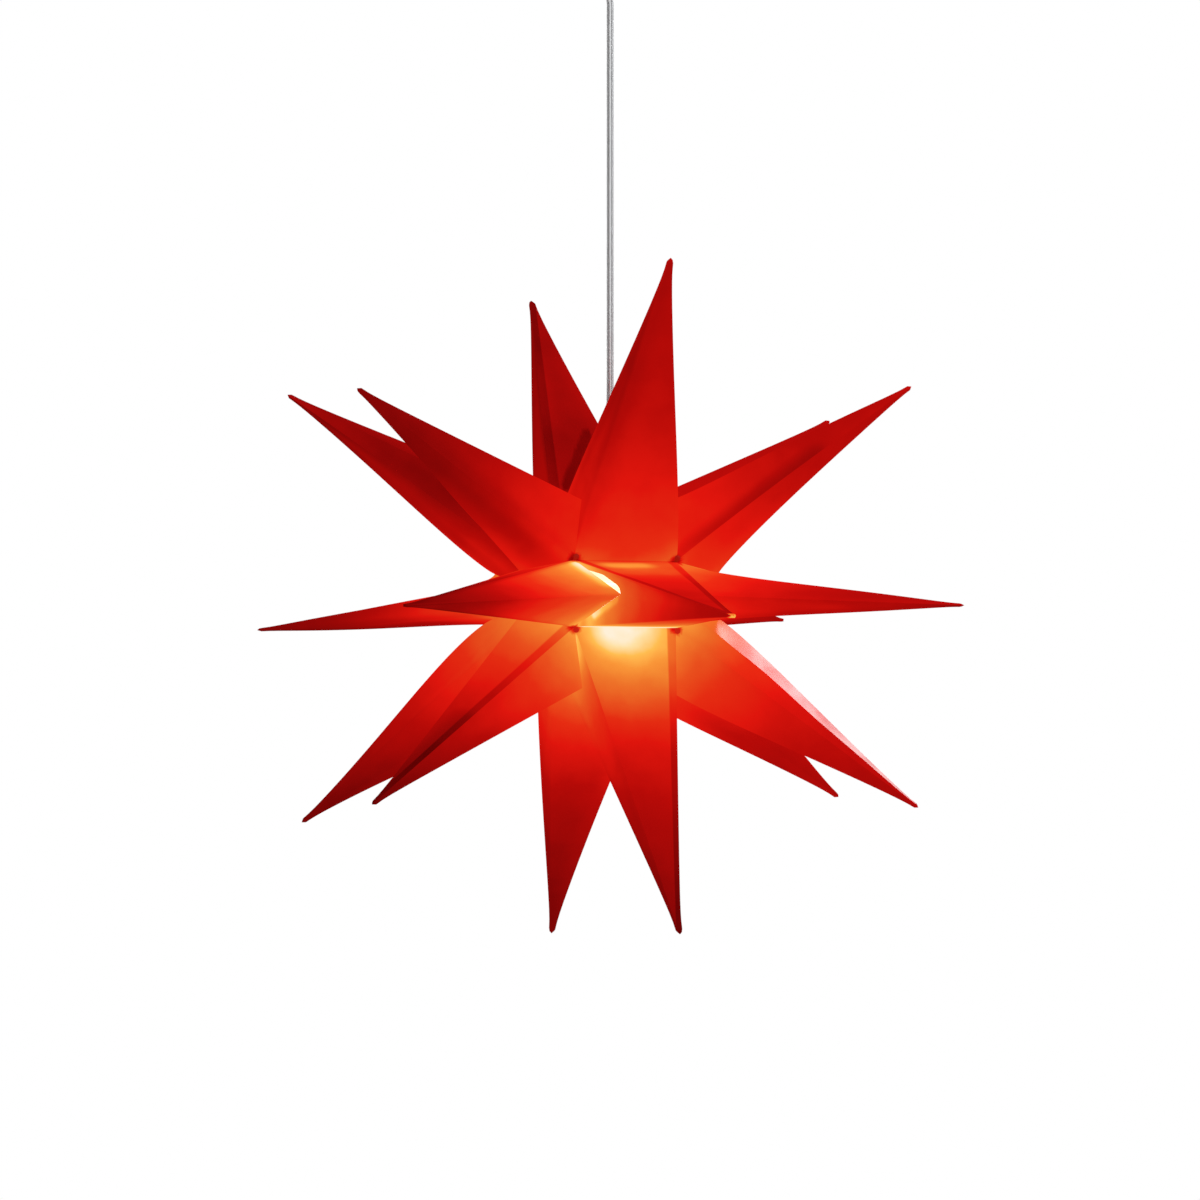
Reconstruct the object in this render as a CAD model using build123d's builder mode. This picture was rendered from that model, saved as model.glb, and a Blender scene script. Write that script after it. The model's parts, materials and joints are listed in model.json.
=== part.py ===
from build123d import *
from math import atan2, cos, radians, sin, sqrt
import os

# A lit eighteen-point star that hangs from a ceiling cup on a clear twin cord.
# Frame: millimetres, +Z up, origin where the bracket meets the ceiling.
# The star's drum has a level axis along X. Six leaves stand round that axis, and the
# angle of a leaf is measured from the front (-Y) upwards.

# Star: overall form
star_drop = 550.0        # ceiling to the centre of the star
middle_reach = 290.0     # centre to the tip of a middle point
side_reach = 286.0       # centre to the tip of a side point
side_lean = 50.3         # degrees between a side point and its middle point
drum_width = 81.0        # along X, between the two rows of corners
drum_radius = 50.5       # axis to a corner of the drum
end_offset = 80.0        # centre to the plane of an end ring, along X
end_radius = 35.0        # axis to a corner of an end ring

# Leaves: the angle of each, in degrees, six to the turn
leaf_step = 60.0
leaves = {
    "front": 0.0,
    "upper_front": leaf_step,
    "upper_rear": 2 * leaf_step,
    "rear": 3 * leaf_step,
    "lower_rear": 4 * leaf_step,
    "lower_front": 5 * leaf_step,
}
top_leaves = ("upper_front", "upper_rear")
level_leaves = ("front", "rear")
hands = {"left": -1, "right": 1}

# How far each tip stands off its even place, along X and along Z. The sheets are folded by
# hand, and the level points hang down.
tip_drift = {
    "front": {"left": (2, -17), "middle": (-2, -26), "right": (0, -11)},
    "upper_front": {"left": (-6, -11), "middle": (1, -5), "right": (-6, 1)},
    "upper_rear": {"left": (-7, -3), "middle": (-13, -13), "right": (-3, -13)},
    "rear": {"left": (-5, -22), "middle": (-2, -22), "right": (-8, -9)},
    "lower_rear": {"left": (5, -14), "middle": (4, -7), "right": (4, 7)},
    "lower_front": {"left": (6, -2), "middle": (8, -5), "right": (-1, -3)},
}

# Star: sheet, seams and notches. The inner wall of a side point is folded along its middle
# line, and the fold runs into a notch in the side wall of the middle point.
sheet = 0.6
seam_depth = 6.0         # inward flap along a valley, back to back with its neighbour's
notch_depth = 39.0       # from the drum to the bottom of a notch
level_notch_depth = 75.0  # the same on the front and rear leaf, which hang more open
notch_start = 6.0        # corner of the drum to the start of a notch, along the ridge
slit_width = 0.6         # widest opening between a notch and the wall that runs into it
level_slit_width = 3.0   # the same on the front and rear leaf
slit_place = 0.72        # where that is, as a share of the notch's length

# Studs that gather the sheets
stud_stem = 2.4
stud_bead = 4.4          # diameter of the bead outside a corner
bead_clearance = 0.2     # round a bead in its valley
stud_disc = 6.5          # diameter of the retaining disc inside
stud_disc_height = 1.2
end_bead = 7.0           # diameter of the bead outside an end
stem_clearance = 0.3     # round a stem that passes through the sheets

# Hanger in the top valley
clamp_length = 24.0      # along the valley
clamp_window = 1.0       # seam flaps stop this far from the clamp
wedge_height = 16.0      # valley line to the top of the wedge
trough_rise = 14.0       # valley line to the top of the trough's arms
trough_wall = 2.4
trough_base = 7.0        # valley line to the underside of the trough
trough_base_width = 14.0
nipple_diameter = 10.0
nipple_bore = 7.0
nipple_engagement = 6.0  # length inside the cord grip, and inside the holder's cap
thread_clearance = 0.1
bolt_clearance = 0.3
nut_width = 14.0         # across flats
nut_height = 4.0
grip_diameter = 14.0
grip_height = 22.0
grip_bore = 6.4
grip_chamfer = 1.2
grip_screw_diameter = 4.0
grip_screw_head = 6.5
grip_screw_head_length = 3.0
grip_screw_drop = 7.0    # top of the grip down to its screw
screw_slot_width = 0.9
screw_slot_depth = 1.0

# Cord
cord_width = 5.6
cord_thickness = 2.9
cord_in_holder = 4.0     # length of cord inside the holder's cap
swing_gap = 0.9          # between the hanging cord and the mouth of the gland

# Lampholder
holder_diameter = 25.0
holder_wall = 2.0
holder_cap_height = 9.0
holder_cap_top = 3.0
holder_cap_round = 2.0
holder_body_height = 24.0
holder_lip = 1.0         # chamfer round the holder's lower edge
contact_base_height = 5.0
seat_clearance = 0.1     # round the base and the shell inside the holder
shell_diameter = 16.4
shell_wall = 0.7
shell_height = 17.0
contact_diameter = 5.0
contact_height = 2.0

# Bulb
bulb_cap_diameter = 13.9
bulb_thread_pitch = 2.8
bulb_thread_turns = 4
bulb_thread_depth = 0.6
bulb_neck = 2.4          # plain stretch between the thread and the collar
bulb_tip_diameter = 4.5
bulb_clearance = 0.3     # between the turning bulb and what it faces
collar_top_diameter = 16.0
collar_diameter = 36.0
collar_height = 7.0
dome_diameter = 44.0
dome_height = 40.0
dome_wall = 1.2
board_diameter = 30.0
board_thickness = 1.2
chip_size = 2.6
chip_height = 0.8
chip_circle = 20.0       # diameter of the circle that the chips stand on
chip_count = 8

# Ceiling fitting
bracket_width = 16.0
bracket_thickness = 1.5
bracket_ear = 16.0       # ceiling to the lower end of the ears
bracket_clearance = 0.4  # corners of the ears to the cup
bracket_hole = 4.5
bracket_hole_spacing = 46.0
cup_diameter = 92.0
cup_band = 20.0          # height of the cup's straight upper part
cup_foot_diameter = 40.0
cup_height = 56.0
cup_wall = 1.6
cup_screw_drop = 9.0     # ceiling to the cup's side screws
cup_screw_diameter = 3.5
cup_screw_head = 7.0
cup_screw_head_length = 2.5
cup_screw_end = 2.0      # length of screw inside the ear
gland_diameter = 14.0
gland_mouth_diameter = 9.6
gland_length = 24.0      # below the cup
gland_flange_diameter = 20.0
gland_flange_height = 2.0
gland_bore = 6.4
block_length = 26.0
block_width = 15.0
block_height = 13.0
block_hole = 3.4
block_hole_depth = 9.0
block_pitch = 9.0        # between the two poles
block_screw_head = 3.4
block_screw_length = 2.5
lead_diameter = 2.0
lead_spacing = 2.8       # between the two leads where they leave the tail
lead_rise = 10.0         # top of the tail up to the block
lead_bend = 3.0
lead_end = 6.0           # length of a lead inside the block

# Places that follow from the sizes
half_step = leaf_step / 2
star_centre = Vector(0, 0, -star_drop)
along_x = Vector(1, 0, 0)
end_apothem = end_radius * cos(radians(half_step))
side_tip_x = side_reach * sin(radians(side_lean))
side_tip_radius = side_reach * cos(radians(side_lean))
gather_slope = (side_tip_x - end_offset) / (side_tip_radius - end_apothem)
gather_offset = end_offset - end_apothem * gather_slope
swing_height = -cup_height - gland_length
valley_height = star_centre.Z + drum_radius
wedge_top = valley_height + wedge_height
nut_top = wedge_top + nut_height
grip_top = nut_top + grip_height
trough_foot = valley_height - trough_base
cord_top = swing_height - swing_gap
cord_foot = trough_foot - holder_cap_top - cord_in_holder
holder_split = trough_foot - holder_cap_height
holder_foot = holder_split - holder_body_height
contact_foot = holder_split - contact_base_height - contact_height
collar_top = holder_foot - bulb_clearance
collar_foot = collar_top - collar_height
block_foot = -bracket_thickness - block_height
hanging = (Align.CENTER, Align.CENTER, Align.MAX)
standing = (Align.CENTER, Align.CENTER, Align.MIN)


def radial(angle):
    """Unit vector square to the drum's axis, at this angle from the front."""
    return Vector(0, -cos(radians(angle)), sin(radians(angle)))


def drum_point(x, radius, angle):
    """Point at this place along the drum's axis, this far from it, at this angle."""
    return star_centre + along_x * x + radial(angle) * radius


def middle_tip(leaf):
    """Tip of a leaf's middle point."""
    drift_x, drift_z = tip_drift[leaf]["middle"]
    return drum_point(0, middle_reach, leaves[leaf]) + Vector(drift_x, 0, drift_z)


def side_tip(leaf, hand):
    """Tip of a leaf's left or right point."""
    drift_x, drift_z = tip_drift[leaf][hand]
    even_tip = drum_point(hands[hand] * side_tip_x, side_tip_radius, leaves[leaf])
    return even_tip + Vector(drift_x, 0, drift_z)


def inward_plane(corners, inside):
    """Plane on the first three corners, with its normal towards the point inside."""
    normal = (corners[1] - corners[0]).cross(corners[2] - corners[0]).normalized()
    if normal.dot(inside - corners[0]) < 0:
        normal = normal * -1
    return Plane(origin=corners[0], x_dir=corners[1] - corners[0], z_dir=normal)


def seam_flap(start, end, angle):
    """Outline of the flap that turns in along a valley from start to end."""
    inwards = radial(angle) * -seam_depth
    return [start, end, end + inwards, start + inwards]


def middle_side_wall(leaf, side):
    """Upper corner, lower corner and tip of a middle point's wall on one side."""
    x = side * drum_width / 2
    upper = drum_point(x, drum_radius, leaves[leaf] + half_step)
    lower = drum_point(x, drum_radius, leaves[leaf] - half_step)
    return upper, lower, middle_tip(leaf)


def notch_end(leaf, side):
    """Bottom of the notch in a middle point's side wall, on the wall's middle line."""
    upper, lower, tip = middle_side_wall(leaf, side)
    depth = level_notch_depth if leaf in level_leaves else notch_depth
    middle = (upper + lower) * 0.5
    return middle + (tip - middle).normalized() * depth


def notched_wall(leaf, side):
    """Outline of a middle point's side wall: a triangle with a V cut from its valley edge.

    Each edge of the V bows out towards the tip, so that a slit stays open beside the
    folded wall of the side point, which fills the rest of the V.
    """
    upper, lower, tip = middle_side_wall(leaf, side)
    end = notch_end(leaf, side)
    outward = (tip - end).normalized()
    width = level_slit_width if leaf in level_leaves else slit_width
    edges = []
    for corner in (upper, lower):
        start = corner + (tip - corner).normalized() * notch_start
        edge = (end - start).normalized()
        across = (outward - edge * outward.dot(edge)).normalized()
        bow = start + (end - start) * slit_place + across * width
        edges.append([start, bow])
    return [*edges[0], end, *reversed(edges[1]), tip]


def folded_point(panels, form, corner_studs, end_studs):
    """One point of the star, folded from sheet.

    Each panel is a flat outline on the outside of the point, with the sheet's thickness
    inwards. The panels are trimmed to the point's outer form, so that they meet in
    mitres. The studs' planes stand on the sheet, and their normals point out of the star.
    """
    inside = sum(form, Vector(0, 0, 0)) * (1 / len(form))
    with BuildPart() as point:
        for corners in panels:
            plane = inward_plane(corners, inside)
            with BuildSketch(plane):
                with BuildLine():
                    Polyline(*[plane.to_local_coords(corner) for corner in corners], close=True)
                make_face()
            extrude(amount=sheet)
        ConvexPolyhedron(form, mode=Mode.INTERSECT)
        with Locations(*corner_studs, *end_studs):
            Cylinder(stud_stem / 2 + stem_clearance, 3 * seam_depth, mode=Mode.SUBTRACT)
        with Locations(*[plane.offset(-seam_depth) for plane in corner_studs]):
            Cylinder(
                stud_disc / 2 + stem_clearance, seam_depth, align=hanging, mode=Mode.SUBTRACT
            )
    return point.part


def corner_plane(side, angle):
    """Plane on a corner of the drum, with its normal straight out from the axis."""
    corner = drum_point(side * drum_width / 2, drum_radius, angle)
    return Plane(origin=corner, x_dir=along_x, z_dir=radial(angle))


def end_plane(side):
    """Plane where the six outer walls gather on the drum's axis, with its normal outwards."""
    return Plane(
        origin=star_centre + along_x * side * gather_offset,
        x_dir=(0, 1, 0),
        z_dir=along_x * side,
    )


def middle_point(leaf):
    """Middle point of a leaf: two plain walls with seam flaps, two notched side walls."""
    half_width = drum_width / 2
    high = leaves[leaf] + half_step
    low = leaves[leaf] - half_step
    upper_left = drum_point(-half_width, drum_radius, high)
    upper_right = drum_point(half_width, drum_radius, high)
    lower_left = drum_point(-half_width, drum_radius, low)
    lower_right = drum_point(half_width, drum_radius, low)
    tip = middle_tip(leaf)
    upper_flap = seam_flap(upper_left, upper_right, high)
    lower_flap = seam_flap(lower_left, lower_right, low)
    panels = [
        [upper_left, upper_right, tip],
        [lower_left, lower_right, tip],
        notched_wall(leaf, -1),
        notched_wall(leaf, 1),
        upper_flap,
        lower_flap,
    ]
    form = upper_flap + lower_flap + [tip]
    corner_studs = [corner_plane(side, edge) for side in (-1, 1) for edge in (high, low)]
    return folded_point(panels, form, corner_studs, [])


def side_point(leaf, hand):
    """Side point of a leaf: four walls and two seam flaps.

    The inner wall is folded in two along the line from the tip to the bottom of the notch in
    the middle point. The outer wall runs on past the end ring to the drum's axis. It may bend
    a little at the ring, so it is two panels, and the inner of them reaches a little over the
    bend.
    """
    side = hands[hand]
    high = leaves[leaf] + half_step
    low = leaves[leaf] - half_step
    upper_in, lower_in, _ = middle_side_wall(leaf, side)
    fold_end = notch_end(leaf, side)
    upper_out = drum_point(side * end_offset, end_radius, high)
    lower_out = drum_point(side * end_offset, end_radius, low)
    tip = side_tip(leaf, hand)
    gather = end_plane(side).origin
    over = ((upper_out + lower_out) * 0.5 - gather).normalized() * sheet
    upper_flap = seam_flap(upper_in, upper_out, high)
    lower_flap = seam_flap(lower_in, lower_out, low)
    panels = [
        [upper_in, fold_end, tip],
        [lower_in, fold_end, tip],
        [upper_in, upper_out, tip],
        [lower_in, lower_out, tip],
        [upper_out, lower_out, tip],
        [upper_out, gather, lower_out, lower_out + over, upper_out + over],
        upper_flap,
        lower_flap,
    ]
    form = upper_flap + lower_flap + [gather, tip, fold_end]
    corner_studs = [corner_plane(side, high), corner_plane(side, low)]
    return folded_point(panels, form, corner_studs, [end_plane(side)])


os.makedirs("parts", exist_ok=True)

# Star points, leaf by leaf
for leaf in leaves:
    for hand in hands:
        folded = side_point(leaf, hand)
        folded.label = f"{leaf}_{hand}_point"
        export_step(folded, f"parts/{folded.label}.step")
    with BuildPart() as point:
        add(middle_point(leaf))
        if leaf in top_leaves:
            # The two sheets of the top valley let the nipple and the clamp through.
            with Locations((0, 0, valley_height)):
                Cylinder(
                    nipple_diameter / 2 + bolt_clearance, 4 * seam_depth, mode=Mode.SUBTRACT
                )
                Box(
                    clamp_length + 2 * clamp_window,
                    4 * sheet,
                    2 * seam_depth,
                    align=hanging,
                    mode=Mode.SUBTRACT,
                )
    point.part.label = f"{leaf}_middle_point"
    export_step(point.part, f"parts/{point.part.label}.step")

# Corner studs: a bead outside, a stem through the four sheets, a disc inside. The tightest
# valley sets how far out the beads sit.
valley_angles = []
for leaf, angle in leaves.items():
    for edge in (angle - half_step, angle + half_step):
        wall = middle_tip(leaf) - drum_point(middle_tip(leaf).X, drum_radius, edge)
        valley_angles.append(wall.get_angle(radial(edge)))
        for hand, side in hands.items():
            corner = drum_point(side * drum_width / 2, drum_radius, edge)
            across = (notch_end(leaf, side) - corner).cross(side_tip(leaf, hand) - corner)
            slope = across.get_angle(radial(edge))
            valley_angles.append(abs(90 - slope))
stud_lift = (stud_bead / 2 + bead_clearance) / sin(radians(min(valley_angles)))
corner_planes = [
    corner_plane(side, angle + half_step) for side in hands.values() for angle in leaves.values()
]
with BuildPart() as corner_studs:
    with Locations(*[plane.offset(stud_lift) for plane in corner_planes]):
        Sphere(stud_bead / 2)
        Cylinder(stud_stem / 2, stud_lift + seam_depth + stud_disc_height, align=hanging)
    with Locations(*[plane.offset(-seam_depth) for plane in corner_planes]):
        Cylinder(stud_disc / 2, stud_disc_height, align=hanging)
corner_studs.part.label = "corner_studs"
export_step(corner_studs.part, "parts/corner_studs.step")

# End studs: the same, where the six outer walls of a side gather on the axis
cone_sine = sin(atan2(1, gather_slope))
end_lift = (end_bead / 2 + thread_clearance) / cone_sine
end_disc_drop = sheet / cone_sine - (stud_stem / 2 + stem_clearance) * gather_slope
end_planes = [end_plane(side) for side in hands.values()]
with BuildPart() as end_studs:
    with Locations(*[plane.offset(end_lift) for plane in end_planes]):
        Sphere(end_bead / 2)
        Cylinder(stud_stem / 2, end_lift + end_disc_drop + stud_disc_height, align=hanging)
    with Locations(*[plane.offset(-end_disc_drop) for plane in end_planes]):
        Cylinder(stud_disc / 2, stud_disc_height, align=hanging)
end_studs.part.label = "end_studs"
export_step(end_studs.part, "parts/end_studs.step")

# Clamp wedge, in the V of the top valley. A slope is the way out for each step up.
front_slope, rear_slope = [
    abs(middle_tip(leaf).Y) / (middle_tip(leaf).Z - valley_height) for leaf in top_leaves
]
with BuildPart() as clamp_wedge:
    with BuildSketch(Plane.YZ.offset(-clamp_length / 2)):
        with BuildLine():
            Polyline(
                (0, valley_height),
                (wedge_height * rear_slope, wedge_top),
                (-wedge_height * front_slope, wedge_top),
                close=True,
            )
        make_face()
    extrude(amount=clamp_length)
    with Locations((0, 0, wedge_top)):
        Hole(nipple_diameter / 2 + bolt_clearance)
clamp_wedge.part.label = "clamp_wedge"
export_step(clamp_wedge.part, "parts/clamp_wedge.step")

# Clamp trough, under the same two sheets
front_slant = sqrt(1 + front_slope**2)
rear_slant = sqrt(1 + rear_slope**2)
vee_drop = sheet * (front_slant + rear_slant) / (front_slope + rear_slope)
front_inside = trough_rise * front_slope + sheet * front_slant
rear_inside = trough_rise * rear_slope + sheet * rear_slant
arm_top = valley_height + trough_rise
with BuildPart() as clamp_trough:
    with BuildSketch(Plane.YZ.offset(-clamp_length / 2)):
        with BuildLine():
            Polyline(
                (vee_drop * front_slope - sheet * front_slant, valley_height - vee_drop),
                (rear_inside, arm_top),
                (rear_inside + trough_wall * rear_slant, arm_top),
                (trough_base_width / 2, trough_foot),
                (-trough_base_width / 2, trough_foot),
                (-front_inside - trough_wall * front_slant, arm_top),
                (-front_inside, arm_top),
                close=True,
            )
        make_face()
    extrude(amount=clamp_length)
    with Locations((0, 0, arm_top)):
        Hole(nipple_diameter / 2 + bolt_clearance)
clamp_trough.part.label = "clamp_trough"
export_step(clamp_trough.part, "parts/clamp_trough.step")

# Threaded nipple, which carries the clamp, the holder and the cord grip
nipple_top = nut_top + nipple_engagement
nipple_foot = trough_foot - nipple_engagement
with BuildPart() as nipple:
    with Locations((0, 0, nipple_foot)):
        Cylinder(nipple_diameter / 2, nipple_top - nipple_foot, align=standing)
    with Locations((0, 0, nipple_top)):
        Hole(nipple_bore / 2)
nipple.part.label = "nipple"
export_step(nipple.part, "parts/nipple.step")

# Nut on the wedge
with BuildPart() as nipple_nut:
    with BuildSketch(Plane.XY.offset(wedge_top)):
        RegularPolygon(nut_width / 2, 6, major_radius=False)
        Circle(nipple_diameter / 2 + thread_clearance, mode=Mode.SUBTRACT)
    extrude(amount=nut_height)
nipple_nut.part.label = "nipple_nut"
export_step(nipple_nut.part, "parts/nipple_nut.step")

# Cord grip, screwed on the top of the nipple
grip_screw_height = grip_top - grip_screw_drop
with BuildPart() as cord_grip:
    with Locations((0, 0, nut_top)):
        Cylinder(grip_diameter / 2, grip_height, align=standing)
    chamfer(cord_grip.edges().group_by(Axis.Z)[-1], length=grip_chamfer)
    with Locations((0, 0, grip_top)):
        Hole(grip_bore / 2)
    with Locations((0, 0, nut_top)):
        Cylinder(
            nipple_diameter / 2 + thread_clearance,
            nipple_engagement + thread_clearance,
            align=standing,
            mode=Mode.SUBTRACT,
        )
    with Locations(Plane(origin=(0, 0, grip_screw_height), z_dir=(0, 1, 0))):
        Cylinder(
            grip_screw_diameter / 2 + thread_clearance,
            grip_diameter,
            align=standing,
            mode=Mode.SUBTRACT,
        )
cord_grip.part.label = "cord_grip"
export_step(cord_grip.part, "parts/cord_grip.step")

# Grip screw, from the rear
grip_screw_plane = Plane(origin=(0, grip_bore / 2, grip_screw_height), z_dir=(0, 1, 0))
grip_screw_length = grip_diameter / 2 - grip_bore / 2
grip_screw_end = grip_screw_length + grip_screw_head_length
with BuildPart() as grip_screw:
    with Locations(grip_screw_plane):
        Cylinder(grip_screw_diameter / 2, grip_screw_length, align=standing)
    with Locations(grip_screw_plane.offset(grip_screw_length)):
        Cylinder(grip_screw_head / 2, grip_screw_head_length, align=standing)
    with Locations(grip_screw_plane.offset(grip_screw_end)):
        Box(
            grip_screw_head,
            screw_slot_width,
            screw_slot_depth,
            align=hanging,
            mode=Mode.SUBTRACT,
        )
grip_screw.part.label = "grip_screw"
export_step(grip_screw.part, "parts/grip_screw.step")

# Cord, taut from the gland in the ceiling cup down into the holder
with BuildPart() as cord:
    with BuildSketch(Plane.XY.offset(cord_foot)):
        SlotOverall(cord_width, cord_thickness)
    extrude(amount=cord_top - cord_foot)
cord.part.label = "cord"
export_step(cord.part, "parts/cord.step")

# Holder cap, under the trough
with BuildPart() as holder_cap:
    with Locations((0, 0, trough_foot)):
        Cylinder(holder_diameter / 2, holder_cap_height, align=hanging)
    fillet(holder_cap.edges().group_by(Axis.Z)[-1], radius=holder_cap_round)
    with Locations((0, 0, trough_foot)):
        Hole(nipple_diameter / 2 + thread_clearance)
    with Locations((0, 0, trough_foot - holder_cap_top)):
        Cylinder(
            holder_diameter / 2 - holder_wall, holder_cap_height, align=hanging, mode=Mode.SUBTRACT
        )
holder_cap.part.label = "holder_cap"
export_step(holder_cap.part, "parts/holder_cap.step")

# Holder body, with a seat for the contact base and a bore for the screw shell
with BuildPart() as holder_body:
    with Locations((0, 0, holder_split)):
        Cylinder(holder_diameter / 2, holder_body_height, align=hanging)
    chamfer(holder_body.edges().group_by(Axis.Z)[0], length=holder_lip)
    with Locations((0, 0, holder_split)):
        CounterBoreHole(
            shell_diameter / 2 + seat_clearance,
            holder_diameter / 2 - holder_wall,
            contact_base_height,
        )
holder_body.part.label = "holder_body"
export_step(holder_body.part, "parts/holder_body.step")

# Contact base, the insulating disc between the leads and the screw shell
with BuildPart() as contact_base:
    with Locations((0, 0, holder_split)):
        Cylinder(
            holder_diameter / 2 - holder_wall - seat_clearance, contact_base_height, align=hanging
        )
contact_base.part.label = "contact_base"
export_step(contact_base.part, "parts/contact_base.step")

# Centre contact
with BuildPart() as centre_contact:
    with Locations((0, 0, holder_split - contact_base_height)):
        Cylinder(contact_diameter / 2, contact_height, align=hanging)
centre_contact.part.label = "centre_contact"
export_step(centre_contact.part, "parts/centre_contact.step")

# Screw shell
with BuildPart() as screw_shell:
    with BuildSketch(Plane.XY.offset(holder_split - contact_base_height)):
        Circle(shell_diameter / 2)
        Circle(shell_diameter / 2 - shell_wall, mode=Mode.SUBTRACT)
    extrude(amount=-shell_height)
screw_shell.part.label = "screw_shell"
export_step(screw_shell.part, "parts/screw_shell.step")

# Bulb cap: a plain neck, a rolled thread and the contact at its tip
thread_foot = collar_top + bulb_neck
cap_shoulder = thread_foot + bulb_thread_turns * bulb_thread_pitch
root_radius = bulb_cap_diameter / 2 - bulb_thread_depth
thread_profile = []
for turn in range(bulb_thread_turns):
    thread_profile.append((root_radius, thread_foot + turn * bulb_thread_pitch))
    thread_profile.append((bulb_cap_diameter / 2, thread_foot + (turn + 0.5) * bulb_thread_pitch))
with BuildPart() as bulb_cap:
    with BuildSketch(Plane.XZ):
        with BuildLine():
            Polyline(
                (0, collar_top),
                (root_radius, collar_top),
                *thread_profile,
                (root_radius, cap_shoulder),
                (bulb_tip_diameter / 2, cap_shoulder),
                (bulb_tip_diameter / 2, contact_foot - bulb_clearance),
                (0, contact_foot - bulb_clearance),
                close=True,
            )
        make_face()
    revolve(axis=Axis.Z)
bulb_cap.part.label = "bulb_cap"
export_step(bulb_cap.part, "parts/bulb_cap.step")

# Bulb collar, which spreads the heat of the board
with BuildPart() as bulb_collar:
    with Locations((0, 0, collar_foot)):
        Cone(collar_diameter / 2, collar_top_diameter / 2, collar_height, align=standing)
bulb_collar.part.label = "bulb_collar"
export_step(bulb_collar.part, "parts/bulb_collar.step")

# Board with its ring of chips, under the collar
with BuildPart() as led_board:
    with Locations((0, 0, collar_foot)):
        Cylinder(board_diameter / 2, board_thickness, align=hanging)
    with Locations((0, 0, collar_foot - board_thickness)):
        with PolarLocations(chip_circle / 2, chip_count):
            Box(chip_size, chip_size, chip_height, align=hanging)
led_board.part.label = "led_board"
export_step(led_board.part, "parts/led_board.step")

# Dome, the diffuser that glows
dome_straight = collar_foot - dome_height + dome_diameter / 2
with BuildPart() as bulb_dome:
    with BuildSketch(Plane.XZ):
        with BuildLine():
            outer_side = Line((collar_diameter / 2, collar_foot), (dome_diameter / 2, dome_straight))
            outer_round = RadiusArc(
                outer_side @ 1, (0, collar_foot - dome_height), dome_diameter / 2
            )
            foot = Line(outer_round @ 1, outer_round @ 1 + Vector(0, dome_wall))
            inner_round = RadiusArc(
                foot @ 1, outer_side @ 1 - Vector(dome_wall, 0), -dome_diameter / 2 + dome_wall
            )
            inner_side = Line(inner_round @ 1, outer_side @ 0 - Vector(dome_wall, 0))
            Line(inner_side @ 1, outer_side @ 0)
        make_face()
    revolve(axis=Axis.Z)
bulb_dome.part.label = "bulb_dome"
export_step(bulb_dome.part, "parts/bulb_dome.step")

# Ceiling bracket: a strip with two ears, and two holes to the ceiling
cup_inside = cup_diameter / 2 - cup_wall
ear_reach = sqrt((cup_inside - bracket_clearance) ** 2 - (bracket_width / 2) ** 2)
ear_screw_hole = cup_screw_diameter / 2 + thread_clearance
with BuildPart() as ceiling_bracket:
    with Locations((0, 0, 0)):
        Box(2 * ear_reach, bracket_width, bracket_thickness, align=hanging)
    for side in hands.values():
        with Locations((side * (ear_reach - bracket_thickness / 2), 0, 0)):
            Box(bracket_thickness, bracket_width, bracket_ear, align=hanging)
    with GridLocations(bracket_hole_spacing, 0, 2, 1):
        Hole(bracket_hole / 2)
    with Locations(Plane(origin=(0, 0, -cup_screw_drop), z_dir=along_x)):
        Cylinder(ear_screw_hole, cup_diameter, mode=Mode.SUBTRACT)
ceiling_bracket.part.label = "ceiling_bracket"
export_step(ceiling_bracket.part, "parts/ceiling_bracket.step")

# Ceiling cup: a straight band, then a round shoulder down to its foot
foot_radius = cup_foot_diameter / 2
with BuildPart() as ceiling_cup:
    with BuildSketch(Plane.XZ):
        with BuildLine():
            band = Line((cup_diameter / 2, 0), (cup_diameter / 2, -cup_band))
            shoulder = TangentArc(band @ 1, (foot_radius, -cup_height), tangent=band % 1)
            base = Line(shoulder @ 1, (0, -cup_height))
            Line(base @ 1, (0, 0))
            Line((0, 0), band @ 0)
        make_face()
    revolve(axis=Axis.Z)
    offset(amount=-cup_wall, openings=ceiling_cup.faces().sort_by(Axis.Z)[-1])
    with Locations((0, 0, -cup_height)):
        Cylinder(gland_diameter / 2 + thread_clearance, 4 * cup_wall, mode=Mode.SUBTRACT)
    with Locations(Plane(origin=(0, 0, -cup_screw_drop), z_dir=along_x)):
        Cylinder(ear_screw_hole, 2 * cup_diameter, mode=Mode.SUBTRACT)
ceiling_cup.part.label = "ceiling_cup"
export_step(ceiling_cup.part, "parts/ceiling_cup.step")

# Cup screws, one into each ear
cup_screw_length = cup_diameter / 2 - ear_reach + cup_screw_end
with BuildPart() as cup_screws:
    for side in hands.values():
        seat = Plane(
            origin=(side * cup_diameter / 2, 0, -cup_screw_drop),
            x_dir=(0, 1, 0),
            z_dir=along_x * side,
        )
        with Locations(seat):
            Cylinder(cup_screw_diameter / 2, cup_screw_length, align=hanging)
            Cylinder(cup_screw_head / 2, cup_screw_head_length, align=standing)
        with Locations(seat.offset(cup_screw_head_length)):
            Box(
                cup_screw_head,
                screw_slot_width,
                screw_slot_depth,
                align=hanging,
                mode=Mode.SUBTRACT,
            )
cup_screws.part.label = "cup_screws"
export_step(cup_screws.part, "parts/cup_screws.step")

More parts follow.
